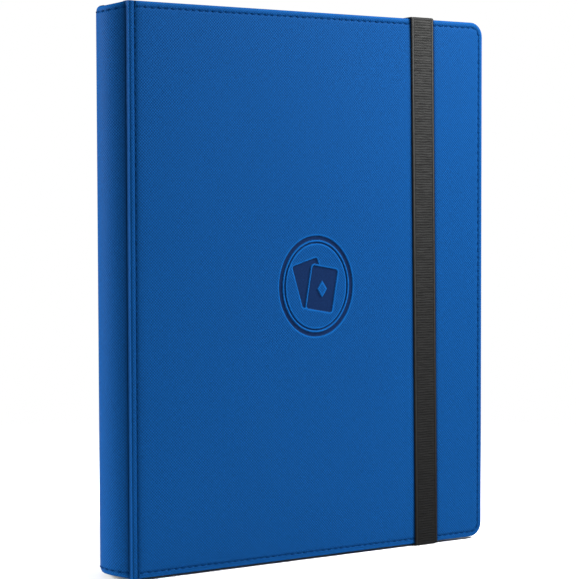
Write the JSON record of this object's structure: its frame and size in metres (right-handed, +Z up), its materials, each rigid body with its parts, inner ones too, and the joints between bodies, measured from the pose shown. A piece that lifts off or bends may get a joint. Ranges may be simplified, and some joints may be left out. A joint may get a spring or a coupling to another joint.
{
  "type": "trading card binder",
  "caption": "Upright padded card album: two hinged covers, rounded spine, bound pocket leaves and an elastic band that holds it shut.",
  "frame": {"origin": "under the middle of the closed binder, on the surface it stands on", "axes": "+Z up the binder's height, +X from the spine to the fore-edge, -Y out of the front cover, +Y out of the back cover"},
  "size_m": [0.267, 0.04, 0.3371],
  "materials": {
    "blue_leather": "fine woven grain, satin",
    "black_lining": "smooth matte lining cloth",
    "padding": "soft foam sheet",
    "board": "raw greyboard",
    "binding": "matte black",
    "pocket_sheet": "black sheet under clear pocket film",
    "elastic": "ribbed knitted elastic"
  },
  "bodies": {
    "spine": {"spine_skin": "blue_leather", "spine_board": "board", "spine_lining": "black_lining", "leaf_binding_strip": "binding"},
    "front_cover": {"front_cover_skin": "blue_leather", "front_cover_padding": "padding", "front_cover_board": "board", "front_cover_lining": "black_lining", "front_hinge_strip": "blue_leather"},
    "back_cover": {"back_cover_skin": "blue_leather", "back_cover_padding": "padding", "back_cover_board": "board", "back_cover_lining": "black_lining", "back_hinge_strip": "blue_leather", "strap_top_run": "elastic", "strap_bottom_run": "elastic", "strap_top_tail": "elastic", "strap_bottom_tail": "elastic"},
    "strap": {"strap_front_run": "elastic"},
    "leaf_01": {"leaf_01": "pocket_sheet"},
    "leaf_02": {"leaf_02": "pocket_sheet"},
    "leaf_03": {"leaf_03": "pocket_sheet"},
    "leaf_04": {"leaf_04": "pocket_sheet"},
    "leaf_05": {"leaf_05": "pocket_sheet"},
    "leaf_06": {"leaf_06": "pocket_sheet"},
    "leaf_07": {"leaf_07": "pocket_sheet"},
    "leaf_08": {"leaf_08": "pocket_sheet"},
    "leaf_09": {"leaf_09": "pocket_sheet"},
    "leaf_10": {"leaf_10": "pocket_sheet"},
    "leaf_11": {"leaf_11": "pocket_sheet"},
    "leaf_12": {"leaf_12": "pocket_sheet"},
    "leaf_13": {"leaf_13": "pocket_sheet"},
    "leaf_14": {"leaf_14": "pocket_sheet"},
    "leaf_15": {"leaf_15": "pocket_sheet"},
    "leaf_16": {"leaf_16": "pocket_sheet"},
    "leaf_17": {"leaf_17": "pocket_sheet"},
    "leaf_18": {"leaf_18": "pocket_sheet"},
    "leaf_19": {"leaf_19": "pocket_sheet"},
    "leaf_20": {"leaf_20": "pocket_sheet"}
  },
  "joints": [
    {"name": "front_cover_hinge", "type": "hinge", "parent": "spine", "child": "front_cover", "pos_m": [-0.1235, -0.01657, 0.16855], "axis": [0, 0, -1], "range_deg": [0, 178], "deforming": ["front_hinge_strip"]},
    {"name": "back_cover_hinge", "type": "hinge", "parent": "spine", "child": "back_cover", "pos_m": [-0.1235, 0.01762, 0.16855], "axis": [0, 0, 1], "range_deg": [0, 178], "deforming": ["back_hinge_strip"]},
    {"name": "strap_swing", "type": "hinge", "parent": "back_cover", "child": "strap", "pos_m": [0.086, 0.00052, 0.16855], "axis": [0, 0, 1], "range_deg": [0, 180], "deforming": ["strap_front_run", "strap_top_run", "strap_bottom_run"]},
    {"name": "leaf_01_turn", "type": "hinge", "parent": "spine", "child": "leaf_01", "pos_m": [-0.117, -0.01325, 0.16855], "axis": [0, 0, -1], "range_deg": [0, 76]},
    {"name": "leaf_02_turn", "type": "hinge", "parent": "spine", "child": "leaf_02", "pos_m": [-0.117, -0.0118, 0.16855], "axis": [0, 0, -1], "range_deg": [0, 68.4]},
    {"name": "leaf_03_turn", "type": "hinge", "parent": "spine", "child": "leaf_03", "pos_m": [-0.117, -0.01035, 0.16855], "axis": [0, 0, -1], "range_deg": [0, 60.8]},
    {"name": "leaf_04_turn", "type": "hinge", "parent": "spine", "child": "leaf_04", "pos_m": [-0.117, -0.0089, 0.16855], "axis": [0, 0, -1], "range_deg": [0, 53.2]},
    {"name": "leaf_05_turn", "type": "hinge", "parent": "spine", "child": "leaf_05", "pos_m": [-0.117, -0.00745, 0.16855], "axis": [0, 0, -1], "range_deg": [0, 45.6]},
    {"name": "leaf_06_turn", "type": "hinge", "parent": "spine", "child": "leaf_06", "pos_m": [-0.117, -0.006, 0.16855], "axis": [0, 0, -1], "range_deg": [0, 38]},
    {"name": "leaf_07_turn", "type": "hinge", "parent": "spine", "child": "leaf_07", "pos_m": [-0.117, -0.00455, 0.16855], "axis": [0, 0, -1], "range_deg": [0, 30.4]},
    {"name": "leaf_08_turn", "type": "hinge", "parent": "spine", "child": "leaf_08", "pos_m": [-0.117, -0.0031, 0.16855], "axis": [0, 0, -1], "range_deg": [0, 22.8]},
    {"name": "leaf_09_turn", "type": "hinge", "parent": "spine", "child": "leaf_09", "pos_m": [-0.117, -0.00165, 0.16855], "axis": [0, 0, -1], "range_deg": [0, 15.2]},
    {"name": "leaf_10_turn", "type": "hinge", "parent": "spine", "child": "leaf_10", "pos_m": [-0.117, -0.0002, 0.16855], "axis": [0, 0, -1], "range_deg": [0, 7.6]},
    {"name": "leaf_11_turn", "type": "hinge", "parent": "spine", "child": "leaf_11", "pos_m": [-0.117, 0.00125, 0.16855], "axis": [0, 0, 1], "range_deg": [0, 7.6]},
    {"name": "leaf_12_turn", "type": "hinge", "parent": "spine", "child": "leaf_12", "pos_m": [-0.117, 0.0027, 0.16855], "axis": [0, 0, 1], "range_deg": [0, 15.2]},
    {"name": "leaf_13_turn", "type": "hinge", "parent": "spine", "child": "leaf_13", "pos_m": [-0.117, 0.00415, 0.16855], "axis": [0, 0, 1], "range_deg": [0, 22.8]},
    {"name": "leaf_14_turn", "type": "hinge", "parent": "spine", "child": "leaf_14", "pos_m": [-0.117, 0.0056, 0.16855], "axis": [0, 0, 1], "range_deg": [0, 30.4]},
    {"name": "leaf_15_turn", "type": "hinge", "parent": "spine", "child": "leaf_15", "pos_m": [-0.117, 0.00705, 0.16855], "axis": [0, 0, 1], "range_deg": [0, 38]},
    {"name": "leaf_16_turn", "type": "hinge", "parent": "spine", "child": "leaf_16", "pos_m": [-0.117, 0.0085, 0.16855], "axis": [0, 0, 1], "range_deg": [0, 45.6]},
    {"name": "leaf_17_turn", "type": "hinge", "parent": "spine", "child": "leaf_17", "pos_m": [-0.117, 0.00995, 0.16855], "axis": [0, 0, 1], "range_deg": [0, 53.2]},
    {"name": "leaf_18_turn", "type": "hinge", "parent": "spine", "child": "leaf_18", "pos_m": [-0.117, 0.0114, 0.16855], "axis": [0, 0, 1], "range_deg": [0, 60.8]},
    {"name": "leaf_19_turn", "type": "hinge", "parent": "spine", "child": "leaf_19", "pos_m": [-0.117, 0.01285, 0.16855], "axis": [0, 0, 1], "range_deg": [0, 68.4]},
    {"name": "leaf_20_turn", "type": "hinge", "parent": "spine", "child": "leaf_20", "pos_m": [-0.117, 0.0143, 0.16855], "axis": [0, 0, 1], "range_deg": [0, 76]}
  ],
  "couplings": [
    {"joint": "strap_swing", "follows": "front_cover_hinge", "ratio": 1.011},
    {"joint": "leaf_01_turn", "follows": "front_cover_hinge", "ratio": 0.426},
    {"joint": "leaf_02_turn", "follows": "front_cover_hinge", "ratio": 0.3834},
    {"joint": "leaf_03_turn", "follows": "front_cover_hinge", "ratio": 0.3408},
    {"joint": "leaf_04_turn", "follows": "front_cover_hinge", "ratio": 0.2982},
    {"joint": "leaf_05_turn", "follows": "front_cover_hinge", "ratio": 0.2556},
    {"joint": "leaf_06_turn", "follows": "front_cover_hinge", "ratio": 0.213},
    {"joint": "leaf_07_turn", "follows": "front_cover_hinge", "ratio": 0.1704},
    {"joint": "leaf_08_turn", "follows": "front_cover_hinge", "ratio": 0.1278},
    {"joint": "leaf_09_turn", "follows": "front_cover_hinge", "ratio": 0.0852},
    {"joint": "leaf_10_turn", "follows": "front_cover_hinge", "ratio": 0.0426},
    {"joint": "leaf_11_turn", "follows": "back_cover_hinge", "ratio": 0.0426},
    {"joint": "leaf_12_turn", "follows": "back_cover_hinge", "ratio": 0.0852},
    {"joint": "leaf_13_turn", "follows": "back_cover_hinge", "ratio": 0.1278},
    {"joint": "leaf_14_turn", "follows": "back_cover_hinge", "ratio": 0.1704},
    {"joint": "leaf_15_turn", "follows": "back_cover_hinge", "ratio": 0.213},
    {"joint": "leaf_16_turn", "follows": "back_cover_hinge", "ratio": 0.2556},
    {"joint": "leaf_17_turn", "follows": "back_cover_hinge", "ratio": 0.2982},
    {"joint": "leaf_18_turn", "follows": "back_cover_hinge", "ratio": 0.3408},
    {"joint": "leaf_19_turn", "follows": "back_cover_hinge", "ratio": 0.3834},
    {"joint": "leaf_20_turn", "follows": "back_cover_hinge", "ratio": 0.426}
  ]
}
